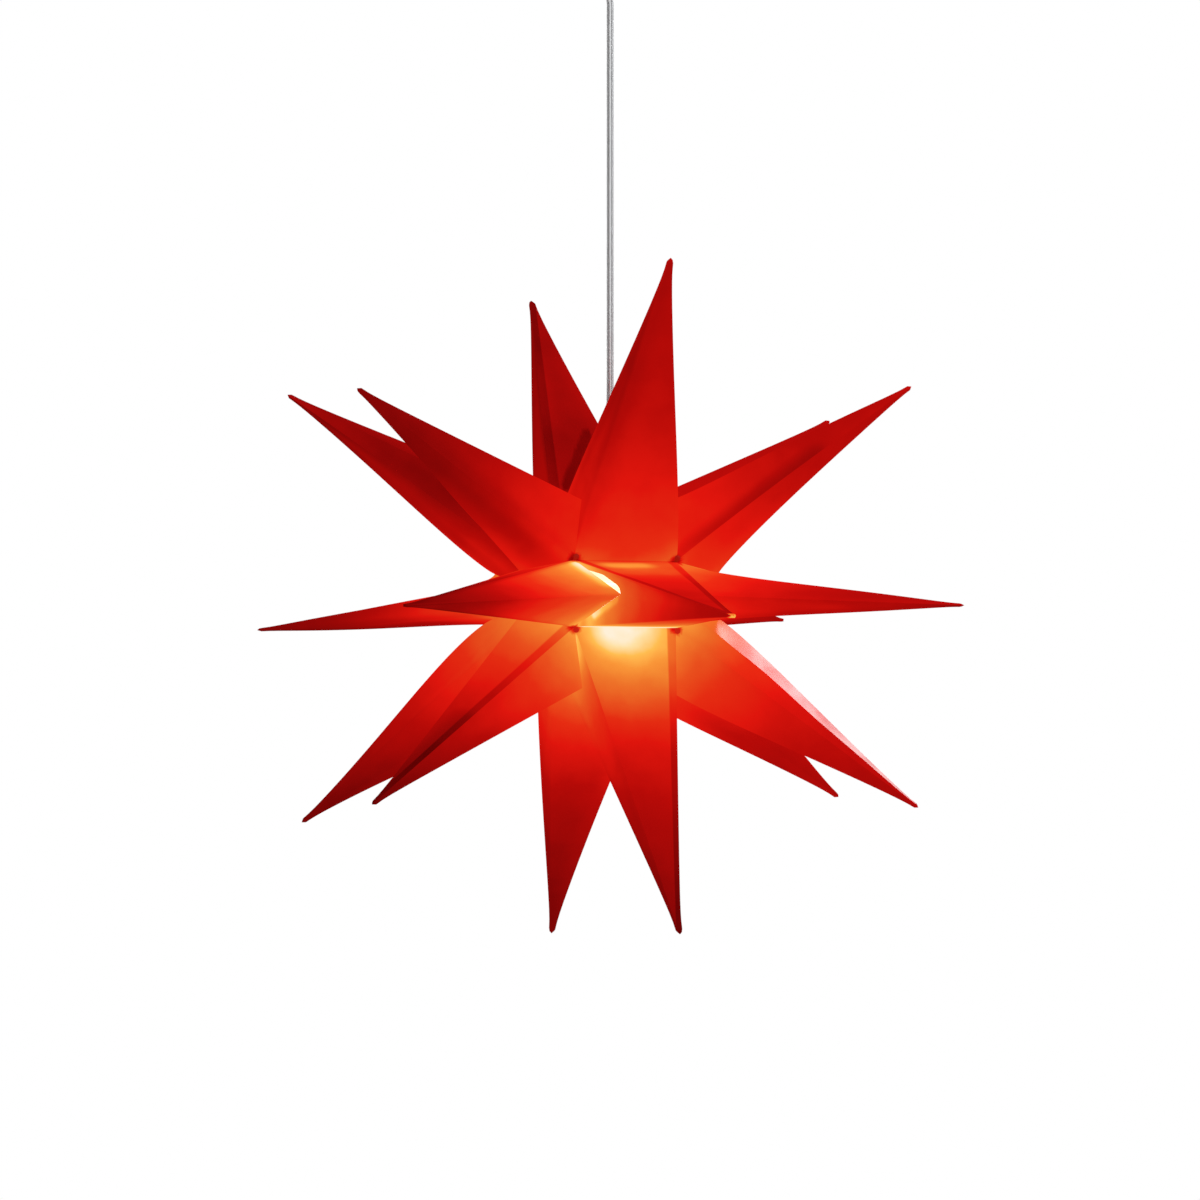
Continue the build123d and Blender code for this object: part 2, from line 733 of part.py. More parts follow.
# Gland in the foot of the cup: a flange inside, and a tapered sleeve below
flange_foot = -cup_height + cup_wall
with BuildPart() as cord_gland:
    with BuildSketch(Plane.XZ):
        with BuildLine():
            Polyline(
                (gland_bore / 2, swing_height),
                (gland_mouth_diameter / 2, swing_height),
                (gland_diameter / 2, -cup_height),
                (gland_diameter / 2, flange_foot),
                (gland_flange_diameter / 2, flange_foot),
                (gland_flange_diameter / 2, flange_foot + gland_flange_height),
                (gland_bore / 2, flange_foot + gland_flange_height),
                close=True,
            )
        make_face()
    revolve(axis=Axis.Z)
cord_gland.part.label = "cord_gland"
export_step(cord_gland.part, "parts/cord_gland.step")

# Terminal block, under the bracket, with a hole from below for each lead
with BuildPart() as terminal_block:
    with Locations((0, 0, -bracket_thickness)):
        Box(block_length, block_width, block_height, align=hanging)
    with Locations((0, 0, block_foot)):
        with GridLocations(block_pitch, 0, 2, 1):
            Cylinder(block_hole / 2, block_hole_depth, align=standing, mode=Mode.SUBTRACT)
terminal_block.part.label = "terminal_block"
export_step(terminal_block.part, "parts/terminal_block.step")

# Terminal screws, on the front of the block
block_front = Plane(
    origin=(0, -block_width / 2, block_foot + block_height / 2),
    x_dir=along_x,
    z_dir=(0, -1, 0),
)
with BuildPart() as terminal_screws:
    with Locations(block_front):
        with GridLocations(block_pitch, 0, 2, 1):
            Cylinder(block_screw_head / 2, block_screw_length, align=standing)
    with Locations(block_front.offset(block_screw_length)):
        with GridLocations(block_pitch, 0, 2, 1):
            Box(
                screw_slot_width,
                block_screw_head,
                screw_slot_depth,
                align=hanging,
                mode=Mode.SUBTRACT,
            )
terminal_screws.part.label = "terminal_screws"
export_step(terminal_screws.part, "parts/terminal_screws.step")

# Cord tail, the stretch of cord inside the gland and the cup
tail_top = block_foot - lead_rise
with BuildPart() as cord_tail:
    with BuildSketch(Plane.XY.offset(swing_height)):
        SlotOverall(cord_width, cord_thickness)
    extrude(amount=tail_top - swing_height)
cord_tail.part.label = "cord_tail"
export_step(cord_tail.part, "parts/cord_tail.step")

# Leads, from the tail up into the block
with BuildPart() as leads:
    for side in hands.values():
        with BuildLine():
            path = FilletPolyline(
                (side * lead_spacing / 2, 0, tail_top),
                (side * lead_spacing / 2, 0, tail_top + lead_rise / 4),
                (side * block_pitch / 2, 0, block_foot - lead_rise / 4),
                (side * block_pitch / 2, 0, block_foot + lead_end),
                radius=lead_bend,
            )
        with BuildSketch(Plane(origin=path @ 0, z_dir=path % 0)):
            Circle(lead_diameter / 2)
        sweep(path=path)
leads.part.label = "leads"
export_step(leads.part, "parts/leads.step")
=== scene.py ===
# %% [markdown]
# # A lit star of folded red film
# The lamp is a hollow star of eighteen pyramid points, folded from thin glossy film and lit from
# the inside by a small bulb. It hangs on a clear twin cord from a ceiling cup. The sizes, joints
# and fittings come in first, as a fixed frame. The lesson then draws the cord, gives the star its
# skin and its glow, and gives every fitting its finish.

# %% Load the frame
import json
import math

import bpy
import numpy as np
from mathutils import Matrix, Vector


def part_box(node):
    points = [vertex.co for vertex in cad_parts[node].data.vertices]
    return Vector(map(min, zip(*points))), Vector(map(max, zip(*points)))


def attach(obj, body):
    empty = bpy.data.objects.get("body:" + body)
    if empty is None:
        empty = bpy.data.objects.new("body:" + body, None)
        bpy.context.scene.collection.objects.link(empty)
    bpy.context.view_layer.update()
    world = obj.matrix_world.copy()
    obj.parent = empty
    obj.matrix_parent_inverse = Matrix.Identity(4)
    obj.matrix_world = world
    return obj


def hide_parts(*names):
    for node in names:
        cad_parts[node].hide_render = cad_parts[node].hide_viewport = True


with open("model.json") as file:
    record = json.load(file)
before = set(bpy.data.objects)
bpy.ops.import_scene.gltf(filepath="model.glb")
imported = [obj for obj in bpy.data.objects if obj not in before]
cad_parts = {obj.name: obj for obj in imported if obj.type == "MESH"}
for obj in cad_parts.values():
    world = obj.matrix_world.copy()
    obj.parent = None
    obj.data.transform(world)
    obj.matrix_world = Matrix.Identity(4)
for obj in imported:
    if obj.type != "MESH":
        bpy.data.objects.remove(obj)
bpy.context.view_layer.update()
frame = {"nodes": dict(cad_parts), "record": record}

scene = bpy.context.scene
scene.view_settings.view_transform = "Standard"
print("nodes in the frame:", len(frame["nodes"]))

# %% [markdown]
# ## Camera
# The star is seen from nearly five metres away through a long lens, from a little below its middle
# and with its drum turned about twenty degrees. A camera can be aimed with a constraint. Here its
# place and its three axes are worked out from those angles instead, because the same numbers then
# say where every tip falls in the picture.

# %% Camera
picture_width = 1200                 # pixels
pixel = 0.000763                     # metres to a pixel, in the plane of the star's centre
camera_offset = (-6.5, -6392, -3.6)  # from the star's centre, in pixels: right, away, up
star_turn, camera_pitch = math.radians(18.8), math.radians(-2.4)

star_low, star_high = (np.array(corner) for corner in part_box("end_studs"))
star_centre = (star_low + star_high) / 2
turned = np.array(Matrix.Rotation(camera_pitch, 3, "X") @ Matrix.Rotation(star_turn, 3, "Z"))
view_right, view_away, view_up = turned
camera_place = star_centre + np.array(camera_offset) * pixel @ turned
camera_axes = np.eye(4)
camera_axes[:3, :4] = np.column_stack([view_right, view_up, -view_away, camera_place])

camera = bpy.data.objects.new("camera", bpy.data.cameras.new("camera"))
scene.collection.objects.link(camera)
camera.data.sensor_width = 36.0
camera.data.lens = camera.data.sensor_width * -camera_offset[1] / picture_width
camera.data.clip_end = 40.0
camera.matrix_world = Matrix(camera_axes)
scene.camera = camera
print("camera at", np.round(camera_place, 3), "lens", round(camera.data.lens, 1), "mm")

# %% [markdown]
# ## Putting a surface into a mesh
# Every new piece here is a grid: rows run one way, columns the other, and each small square of the
# grid becomes a face. The helper takes the grid's points as one array and makes the faces by index
# arithmetic. A closed grid joins its last column to its first.

# %% Helpers for grids
def grid_faces(rows, columns, closed):
    """Corner numbers of a grid's squares: each joins a point, the next in its row, and the two above."""
    across = np.arange(columns if closed else columns - 1)
    along = np.arange(rows - 1)[:, None] * columns
    right = (across + 1) % columns
    squares = [along + across, along + right, along + right + columns, along + across + columns]
    return np.stack(squares, -1).reshape(-1, 4)


def round_angles(sides):
    """Angles of this many even steps round a circle."""
    return np.arange(sides) * 2 * np.pi / sides


def new_piece(name, points, faces, materials):
    """Mesh object at the origin, from an array of points and lists of corner numbers."""
    mesh = bpy.data.meshes.new(name)
    mesh.from_pydata(points.reshape(-1, 3).tolist(), [], faces)
    mesh.polygons.foreach_set("use_smooth", np.ones(len(mesh.polygons), bool))
    piece = bpy.data.objects.new(name, mesh)
    scene.collection.objects.link(piece)
    for material in materials:
        mesh.materials.append(material)
    return piece

# %% [markdown]
# ## Materials by nodes
# A material is a small network: texture nodes make patterns from the piece's own coordinates, and
# the Principled shader turns them into a finish. The helpers below make the usual start, a shader
# with its constant values set on its own sockets, and the patterns that most finishes share. Each
# finish then adds what is special to it.

# %% Helpers for nodes
def new_finish(name, colour, roughness, **sockets):
    """Material with its constants set; returns it with its node tree and its Principled shader."""
    material = bpy.data.materials.new(name)
    material.use_nodes = True
    shader = material.node_tree.nodes["Principled BSDF"]
    shader.inputs["Base Color"].default_value = (*colour, 1.0)
    shader.inputs["Roughness"].default_value = roughness
    for socket, value in sockets.items():
        shader.inputs[socket.replace("_", " ")].default_value = value
    return material, material.node_tree, shader


def add_node(tree, kind, **values):
    """Node of this kind, with its sockets or its own properties set by name."""
    node = tree.nodes.new(kind)
    for name, value in values.items():
        if name in node.inputs:
            node.inputs[name].default_value = value
        else:
            setattr(node, name, value)
    return node


def add_math(tree, operation, first, second):
    """Maths node; each operand is a number or another node's output."""
    node = tree.nodes.new("ShaderNodeMath")
    node.operation = operation
    for socket, operand in zip(node.inputs, (first, second)):
        if isinstance(operand, (int, float)):
            socket.default_value = operand
        else:
            tree.links.new(operand, socket)
    return node.outputs["Value"]


def add_range(tree, value, start, end, low, high):
    """Maps a value from start..end to low..high by an eased step, held at the ends."""
    node = tree.nodes.new("ShaderNodeMapRange")
    node.interpolation_type = "SMOOTHSTEP"
    for name, number in zip(("From Min", "From Max", "To Min", "To Max"), (start, end, low, high)):
        node.inputs[name].default_value = number
    tree.links.new(value, node.inputs["Value"])
    return node.outputs["Result"]


def add_ramp(tree, value, stops):
    """Colour ramp through (place, linear colour) stops."""
    ramp = tree.nodes.new("ShaderNodeValToRGB")
    elements = ramp.color_ramp.elements
    elements[0].position, elements[1].position = stops[0][0], stops[-1][0]
    for place, _ in stops[1:-1]:
        elements.new(place)
    for element, (_, colour) in zip(elements, stops):
        element.color = (*colour, 1.0)
    tree.links.new(value, ramp.inputs["Fac"])
    return ramp.outputs["Color"]

# %% Helpers for patterns
noise_band = (0.3, 0.7)             # most of a noise pattern lies between these values
cloud_band = (0.35, 0.65)           # values of the noise between which a cloud turns to clear


def add_noise(tree, scale, detail, stretch=(1, 1, 1)):
    """Noise in object coordinates, with `scale` features to the metre, stretched along an axis."""
    where = tree.nodes.new("ShaderNodeTexCoord")
    shape = tree.nodes.new("ShaderNodeMapping")
    shape.inputs["Scale"].default_value = stretch
    noise = add_node(tree, "ShaderNodeTexNoise", Scale=scale, Detail=detail)
    tree.links.new(where.outputs["Object"], shape.inputs["Vector"])
    tree.links.new(shape.outputs["Vector"], noise.inputs["Vector"])
    return noise.outputs["Fac"]


def add_uneven(tree, noise, spread):
    """Value that follows a noise between the two ends of a spread."""
    return add_range(tree, noise, *noise_band, *spread)


def add_clouds(tree, noise, shader, colour, shade):
    """Base colour that follows a noise, from a shade of the colour to the colour itself."""
    darker = tuple(shade * part for part in colour)
    stops = list(zip(cloud_band, (darker, colour)))
    tree.links.new(add_ramp(tree, noise, stops), shader.inputs["Base Color"])


def add_bump(tree, height, shader, distance, strength):
    """Bump of this depth in metres on the shader's normal."""
    bump = add_node(tree, "ShaderNodeBump", Distance=distance, Strength=strength)
    tree.links.new(height, bump.inputs["Height"])
    tree.links.new(bump.outputs["Normal"], shader.inputs["Normal"])

# %% [markdown]
# ## Cord
# The lamp hangs on clear twin flex, pulled straight by the star's weight, with a slight bend where it
# leaves the gland and where it enters its grip. Its section is two round sheaths that run into each
# other. A bevelled curve gives only a round cord, so a section of that outline is carried along a
# spline's points instead. Through the clear sheath show two stranded wires, one of them tinned: each
# is a tube whose lobed section turns as it goes down.

# %% Path of the cord
cord_low, cord_high = (np.array(corner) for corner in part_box("cord"))
cord_width = cord_high[0] - cord_low[0]
cord_set = (0.0027, -0.0009)        # the flex hangs this far to one side between its two bends
upper_bend = 0.012                  # length of the bend below the gland
lower_bend = 0.030                  # length of the bend above the grip
path_steps = 130                    # points on each piece of the spline
gland_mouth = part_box("cord_gland")[0][2]
grip_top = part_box("cord_grip")[1][2]
route = [
    (0, 0, cord_high[2]),
    (0, 0, gland_mouth),
    (*cord_set, gland_mouth - upper_bend),
    (*cord_set, gland_mouth - 2 * upper_bend),
    (*cord_set, (cord_low[2] + cord_high[2]) / 2),
    (*cord_set, grip_top + lower_bend),
    (0, 0, grip_top),
    (0, 0, cord_low[2]),
]

cord_line = bpy.data.curves.new("cord_line", "CURVE")
cord_line.dimensions = "3D"
cord_line.resolution_u = path_steps
spline = cord_line.splines.new("NURBS")
spline.points.add(len(route) - 1)
for point, place in zip(spline.points, route):
    point.co = (*place, 1.0)
spline.order_u = 3
spline.use_endpoint_u = True
line_object = bpy.data.objects.new("cord_line", cord_line)
line_mesh = bpy.data.meshes.new_from_object(line_object)
cord_path = np.array([vertex.co for vertex in line_mesh.vertices])
bpy.data.objects.remove(line_object)
bpy.data.meshes.remove(line_mesh)
print("path of the cord:", len(cord_path), "points")

# %% Sections of the cord
cord_waist = 0.0022                 # thickness between the two sheaths
wire_radius = 0.00068
wire_spacing = 0.0028
wire_lay = 0.016                    # length of one turn of the strands
strand_count = 6
strand_depth = 0.13                 # depth of the furrows between strands, as a share of the radius
sheath_sides, wire_sides = 40, 36


def level_profile(angle, radius):
    """Points of a level outline, from its radius at each angle."""
    return np.stack([radius * np.cos(angle), radius * np.sin(angle), 0 * radius], -1)


def carried(profile):
    """Points of a level profile carried down the cord: row by row, path point plus profile."""
    return cord_path[:, None, :] + profile


def twin_sheath():
    """Hippopede: the radius squared is half-width squared times cosine squared, plus waist by sine."""
    angle = round_angles(sheath_sides)
    reach = np.hypot(cord_width / 2 * np.cos(angle), cord_waist / 2 * np.sin(angle))
    return carried(level_profile(angle, reach))


def stranded_wire(side):
    """Lobed circle that turns once in a lay: radius falls between strands by the furrow's depth."""
    angle = round_angles(wire_sides)
    turn = (cord_path[:, 2:3] - cord_high[2]) / wire_lay * 2 * np.pi
    radius = wire_radius * (1 - strand_depth * np.sin(strand_count * (angle - turn) / 2) ** 2)
    offset = np.array([side * wire_spacing / 2, 0, 0])
    return carried(offset + level_profile(angle, radius))


def capped(rows, sides):
    """Faces of a closed tube: the grid's squares and a face over each end."""
    top = list(range(sides))
    bottom = list(range((rows - 1) * sides, rows * sides))[::-1]
    return [*grid_faces(rows, sides, True)[:, ::-1].tolist(), top, bottom]

# %% Cord and wires
def sheath_finish():
    """Clear flex plastic: light goes through it, and it is a little cloudy in streaks along the cord."""
    material, tree, shader = new_finish(
        "clear_sheath", (0.80, 0.81, 0.82), 0.26, Transmission_Weight=0.82, IOR=1.42
    )
    streaks = add_noise(tree, 900.0, 2.0, (1, 1, 0.02))
    tree.links.new(add_uneven(tree, streaks, (0.20, 0.38)), shader.inputs["Roughness"])
    return material


def wire_finish(name, colour):
    """Bare drawn wire, a little dull in places."""
    material, tree, shader = new_finish(name, colour, 0.35, Metallic=1.0)
    dull = add_noise(tree, 260.0, 3.0)
    tree.links.new(add_uneven(tree, dull, (0.28, 0.5)), shader.inputs["Roughness"])
    return material


cord = new_piece("cord_sheath", twin_sheath(), capped(len(cord_path), sheath_sides), [sheath_finish()])
wires = []
# The wire on the left is dark grey and the one on the right pale.
for wire_name, side, colour in (
    ("dark_grey_wire", -1, (0.26, 0.25, 0.25)),
    ("tinned_wire", 1, (0.62, 0.62, 0.63)),
):
    wire_faces = capped(len(cord_path), wire_sides)
    wires.append(new_piece(wire_name, stranded_wire(side), wire_faces, [wire_finish(wire_name, colour)]))
for piece in (cord, *wires):
    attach(piece, "cord")
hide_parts("cord")

# %% [markdown]
# ## The star's skeleton
# Six leaves stand round the drum's level axis, each with a left, a middle and a right point. Every
# point is a ring of walls: it starts from an outline round its base and runs nearly straight to its
# tip. So a point needs only the corners of its base and its tip. The tips are read from the frame,
# as the place of each node that lies furthest from the star's centre. Each side of a middle point
# has a notch, and the folded inner wall of the side point runs down into it.

# %% Corners, tips and notches
leaf_angles = {
    "front": 0, "upper_front": 60, "upper_rear": 120, "rear": 180, "lower_rear": 240, "lower_front": 300,
}
half_leaf = 30                      # degrees from the middle of a leaf to its edges
hands = {"left": -1, "right": 1}
level_leaves = ("front", "rear")
drum_half_width = 0.0405
drum_radius = 0.0505
end_offset = 0.080                  # centre to the plane of an end ring
end_radius = 0.035
gather_offset = 0.0521              # centre to where the six outer walls of a side meet on the axis
notch_depth = 0.039                 # from the drum to the bottom of a notch
level_notch_depth = 0.075
front_notch_lift = 0.0045           # the front notches sit this much above the middle line


def drum_place(along, radius, angle):
    """Place at this distance along the drum's axis, this far from it, at this angle from the front."""
    turn = math.radians(angle)
    return star_centre + np.array([along, -radius * math.cos(turn), radius * math.sin(turn)])


def tip_of(node):
    """The node's point that lies furthest from the star's centre."""
    mesh = frame["nodes"][node].data
    places = np.zeros(len(mesh.vertices) * 3)
    mesh.vertices.foreach_get("co", places)
    places = places.reshape(-1, 3)
    return places[np.argmax(np.linalg.norm(places - star_centre, axis=1))]


def notch_bottom(leaf, side):
    """Bottom of a notch: its depth along the middle line of the side wall, lifted on the front leaf."""
    angle = leaf_angles[leaf]
    upper = drum_place(side * drum_half_width, drum_radius, angle + half_leaf)
    lower = drum_place(side * drum_half_width, drum_radius, angle - half_leaf)
    middle = (upper + lower) / 2
    way = tip_of(f"{leaf}_middle_point") - middle
    depth = level_notch_depth if leaf in level_leaves else notch_depth
    lift = front_notch_lift if leaf == "front" else 0.0
    return middle + way / np.linalg.norm(way) * depth + np.array([0, 0, lift])


print("star centre", np.round(star_centre, 4), "front tip", np.round(tip_of("front_middle_point"), 4))

# %% [markdown]
# ## How much light reaches the film
# The film glows because the bulb stands behind it. Light falls off with the square of the distance
# and with the slant at which it meets the film, and the bulb's own holder keeps most of it from
# going upwards. Some light is also thrown about inside each point. A renderer could work this out
# with a translucent material and a lamp inside, but that is slow, grainy, and lost when the mesh
# leaves this scene. So the light is worked out here for each point of the grid and kept with the
# mesh. It is kept in stops, because the eye and the film's colour both follow the ratio of two
# lights more than their difference.

# %% Light of the bulb
bulb_low, bulb_high = (np.array(corner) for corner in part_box("bulb_dome"))
glow_place = (bulb_low + bulb_high) / 2
full_light = 309.0                  # light on the film that shows nearly white, per square metre
full_glow = 0.96
stop_step = 0.13                    # change of the glow for each halving or doubling of the light
near_reach = 0.018                  # within this distance the bulb itself shows through the film
holder_shade = (0.42, 0.74)         # sine of the angle above level where the holder's shade starts and ends
shade_left = 0.10                   # light that still goes up past the holder
scatter_reach = 0.33                # share of a point's length that scattered light spreads from its base
scattered = {                       # light thrown about inside a point: at its base, and all along it
    "front_left": (25, 0.8), "front_middle": (10, 2.5), "front_right": (0, 3.0),
    "upper_front_left": (14, 2.0), "upper_front_middle": (17, 7.0), "upper_front_right": (13, 6.5),
    "upper_rear_left": (1, 2.5), "upper_rear_middle": (1, 4.0), "upper_rear_right": (4, 5.0),
    "rear_left": (2, 1.0), "rear_middle": (10, 3.0), "rear_right": (2, 3.0),
    "lower_rear_left": (4, 0.8), "lower_rear_middle": (4, 1.5), "lower_rear_right": (7, 4.5),
    "lower_front_left": (10, 0.8), "lower_front_middle": (6, 1.0), "lower_front_right": (8, 4.5),
}


def smooth_step(value, start, end):
    """Eased step: 3t squared minus 2t cubed, with t from 0 at the start to 1 at the end."""
    part = np.clip((value - start) / (end - start), 0, 1)
    return part * part * (3 - 2 * part)


def glow_on(places, normal, share, point_name):
    """Glow from 0 to 1, in stops: bulb light by slant over distance squared, and scattered light."""
    rays = places - glow_place
    distance = np.linalg.norm(rays, axis=-1)
    slant = np.abs(rays @ normal) / distance
    shade = 1 - (1 - shade_left) * smooth_step(rays[..., 2] / distance, *holder_shade)
    direct = shade * slant / distance**2 * (1 + (near_reach / distance) ** 2)
    at_base, all_along = scattered[point_name]
    thrown = all_along + at_base * np.exp(-((share / scatter_reach) ** 2))
    return np.clip(full_glow + stop_step * np.log2((direct + thrown) / full_light), 0, 1)


print("middle of the bulb", np.round(glow_place, 4))

# %% [markdown]
# ## Finish of the film
# Lit red film does not simply get lighter: dim places are dark red, brighter ones a strong red that
# hardly changes, and near the bulb the colour runs through orange and yellow to cream. A colour ramp
# on the glow gives exactly that path. Where the sheet is doubled at a lap, less light comes through,
# with a crisp edge. The inside of the film faces the bulb, so it is brighter than the outside. Full
# gloss would show the white room in every wall that is seen at a slant, and drown the glow there. So
# the film keeps its mirror gloss only in one strip that is stretched quite smooth.

# %% Film
film_colour = (0.20, 0.0015, 0.0015)
film_roughness = (0.16, 0.30)
smooth_gloss = 0.5                  # specular level of the smooth strip
inside_gain = 0.40                  # glow added on the side that faces the bulb
cloud_glow = (-0.012, 0.012)        # glow that the film's clouding takes or adds
lap_width = 0.0060
lap_soft = 0.0016                   # width of the lap's edge
lap_loss = 0.12                     # glow lost where the film is double
glow_path = [                       # glow, and the film's colour there in screen levels
    (0.00, (0, 0, 0)),
    (0.12, (100, 4, 3)),
    (0.30, (158, 8, 5)),
    (0.44, (206, 20, 11)),
    (0.55, (212, 44, 17)),
    (0.65, (216, 80, 29)),
    (0.75, (222, 118, 42)),
    (0.83, (232, 150, 56)),
    (0.90, (240, 190, 82)),
    (0.96, (250, 225, 165)),
    (1.00, (250, 240, 215)),
]


def linear(*levels):
    """Screen levels from 0 to 255 as linear light, by the usual screen curve."""
    part = np.array(levels) / 255
    return np.where(part <= 0.04045, part / 12.92, ((part + 0.055) / 1.055) ** 2.4)


def film_finish(name, gain, gloss):
    """Red film whose light is the glow, less what a lap takes, plus clouding and gain, on the ramp."""
    material, tree, shader = new_finish(
        name, film_colour, film_roughness[1], Specular_IOR_Level=gloss, Emission_Strength=1.0
    )
    glow = add_node(tree, "ShaderNodeAttribute", attribute_name="glow")
    lap = add_node(tree, "ShaderNodeAttribute", attribute_name="lap")
    lap_end = lap_width + lap_soft
    doubled = add_range(tree, lap.outputs["Fac"], lap_width, lap_end, lap_loss, 0.0)
    clouds = add_uneven(tree, add_noise(tree, 45.0, 3.0), cloud_glow)
    level = add_math(tree, "SUBTRACT", glow.outputs["Fac"], doubled)
    level = add_math(tree, "ADD", level, clouds)
    level = add_math(tree, "ADD", level, gain)
    stops = [(place, tuple(linear(*levels))) for place, levels in glow_path]
    tree.links.new(add_ramp(tree, level, stops), shader.inputs["Emission Color"])
    haze = add_noise(tree, 60.0, 4.0)
    tree.links.new(add_uneven(tree, haze, film_roughness), shader.inputs["Roughness"])
    add_bump(tree, add_noise(tree, 28.0, 2.0), shader, 0.0015, 0.25)
    return material


film_materials = [
    film_finish("red_film", 0.0, 0.0),
    film_finish("red_film_inside", inside_gain, 0.0),
    film_finish("red_film_shiny", 0.0, smooth_gloss),
]
outer_film, inner_film, shiny_film = range(len(film_materials))
print("film finishes:", [material.name for material in film_materials])

# %% [markdown]
# ## No two walls are alike
# Film folded by hand sits a little differently on each point. One point is drawn in at its middle,
# another bulges or bends, and each wall gets more or less painted light than the plain rule gives.
# A painted texture could hold that. These tables do it with a few numbers for each wall, which stay
# sharp at any size: a gain changes the painted glow from base to tip, and a mark is one soft stroke
# of painted light or shade on the wall. A negative mark is a stroke of painted shade.

# %% What sets points and walls apart
waists = {                          # share of its width that a point loses near its middle
    "rear_left": 0.30, "front_right": 0.20, "upper_front_right": 0.08, "upper_front_middle": -0.08,
    "lower_rear_middle": -0.05, "lower_front_right": -0.10, "lower_rear_right": -0.08,
    "upper_rear_left": -0.12, "lower_rear_left": -0.24, "upper_rear_middle": -0.04,
}
bends = {                           # how far a point bends at its middle: along the drum, and up
    "rear_left": (0, -0.0012), "upper_front_right": (0, 0.0020), "upper_rear_left": (0, 0.0006),
    "upper_rear_middle": (-0.0012, 0), "lower_rear_middle": (-0.0018, 0),
}
ridge_reach = 0.010                 # distance over which the light evens out across a ridge
ridge_reaches = {"front_middle": 0.0015, "front_left": 0.0030}
shiny_edges = {"lower_front_right": {"upper": 0.40}}  # share of a wall that is stretched smooth
lap_ridges = {                      # walls that carry a lap, and the ridges it lies along
    "front_middle": {"upper": ("right", "left")},
    "rear_middle": {"upper": ("left",), "lower": ("right",)},
    "lower_front_middle": {"upper": ("right",)},
    "lower_rear_middle": {"lower": ("right",)},
    "upper_front_middle": {"upper": ("right",)},
    "upper_rear_middle": {"lower": ("left",), "upper": ("right",)},
    "lower_front_left": {"upper": ("inner",)},
    "lower_rear_right": {"lower": ("inner",)},
    "upper_rear_right": {"upper": ("inner",)},
    "upper_rear_left": {"upper": ("inner",)},
}
print("points with a waist or bulge:", len(waists), "with a bend:", len(bends))

# %% Gains and marks
wall_gains = {                      # glow added to a wall at its base and at its tip
    "front_left": {"inner_upper": (0.10, -0.14), "inner_lower": (0.10, 0.15), "upper": (-0.28, -0.15)},
    "front_middle": {"left": (0.12, 0.05), "upper": (-0.15, 0.15), "lower": (0.36, 0.44)},
    "front_right": {"inner_upper": (-0.07, -0.05), "inner_lower": (0.12, 0.18)},
    "upper_front_left": {"inner_lower": (0.02, 0.06), "lower": (-0.22, -0.01)},
    "upper_front_middle": {"left": (-0.13, -0.06), "lower": (0.0, 0.06)},
    "upper_front_right": {"inner_lower": (-0.01, 0.05), "lower": (-0.10, 0.12)},
    "upper_rear_left": {"outer": (-0.27, 0.17), "lower": (-0.27, 0.0)},
    "upper_rear_middle": {"lower": (-0.15, -0.05)},
    "rear_left": {"upper": (0.22, 0.10), "outer": (0.20, 0.0)},
    "lower_rear_left": {"inner_upper": (0.0, 0.04), "upper": (0.06, 0.03), "outer": (-0.05, -0.03)},
    "lower_rear_middle": {"left": (-0.16, -0.10), "upper": (-0.03, 0.04)},
    "lower_rear_right": {"inner_upper": (-0.03, -0.02), "upper": (0.0, 0.06)},
    "lower_front_left": {"inner_upper": (-0.03, 0.16)},
    "lower_front_middle": {"left": (-0.08, -0.05), "upper": (-0.07, 0.07)},
    "lower_front_right": {"inner_upper": (-0.05, 0.06), "upper": (-0.02, 0.02)},
}
gather_shade = ((0.45, 0.0), (0.55, 0.0), (0.012, 0.050))  # mark round the gather on the drum's axis
# Each mark: its two ends as (across, along), the distances where it is full and has ended, glow added
wall_marks = {
    "front_left": {
        "inner_upper": [((0.05, 0.0), (0.70, 0.0), (0.002, 0.013), 0.10)],
        "inner_lower": [((0.30, 0.0), (0.95, 0.0), (0.002, 0.013), 0.08)],
    },
    "front_middle": {
        "upper": [
            # a painted strip of light across the upper wall, just above its base
            ((0.42, 0.085), (0.72, 0.095), (0.003, 0.017), 0.17),
            ((0.35, 0.20), (0.75, 0.20), (0.006, 0.030), 0.06),
        ],
        "left": [
            ((0.56, 0.0), (0.78, 0.0), (0.0025, 0.0075), 0.10),
            ((0.94, 0.0), (1.0, 0.0), (0.004, 0.018), -0.12),
        ],
    },
    "upper_front_right": {"inner_lower": [((1.0, 0.04), (1.0, 0.60), (0.002, 0.014), -0.13)]},
    "upper_rear_middle": {
        "lower": [
            # a painted shadow in the narrow valley along the edge of the upper front middle point
            ((0.70, 0.41), (0.18, 0.18), (0.001, 0.0048), -0.55),
            ((0.35, 0.60), (0.65, 0.60), (0.015, 0.060), 0.07),
        ],
    },
    "upper_rear_left": {
        "outer": [((0.50, 0.35), (0.50, 0.50), (0.020, 0.080), 0.06), (*gather_shade, -0.08)],
    },
    "rear_left": {"outer": [(*gather_shade, -0.26)]},
    "lower_rear_left": {"outer": [(*gather_shade, -0.05)]},
    "lower_front_left": {"upper": [((1.0, 0.55), (1.0, 0.95), (0.004, 0.016), -0.10)]},
    "lower_front_middle": {
        "upper": [
            ((0.40, 0.16), (0.70, 0.16), (0.016, 0.060), 0.09),
            ((0.56, 0.03), (0.66, 0.03), (0.003, 0.020), 0.035),
        ],
        "left": [((0.04, 0.0), (0.18, 0.0), (0.003, 0.028), 0.10)],
    },
}
print("walls with a gain:", sum(map(len, wall_gains.values())))
print("walls with marks:", sum(map(len, wall_marks.values())))

# %% [markdown]
# ## The outline of a base
# The base of a middle point is a rectangle whose two short sides are cut into a V by the notches.
# The folded wall of the side point nearly fills the V. Only on the left of the front leaf does the
# film stand away from it, and the light comes out as a bright slit with a round end. The outline is
# a line of places for each wall: straight, or pushed sideways by the width of the slit.

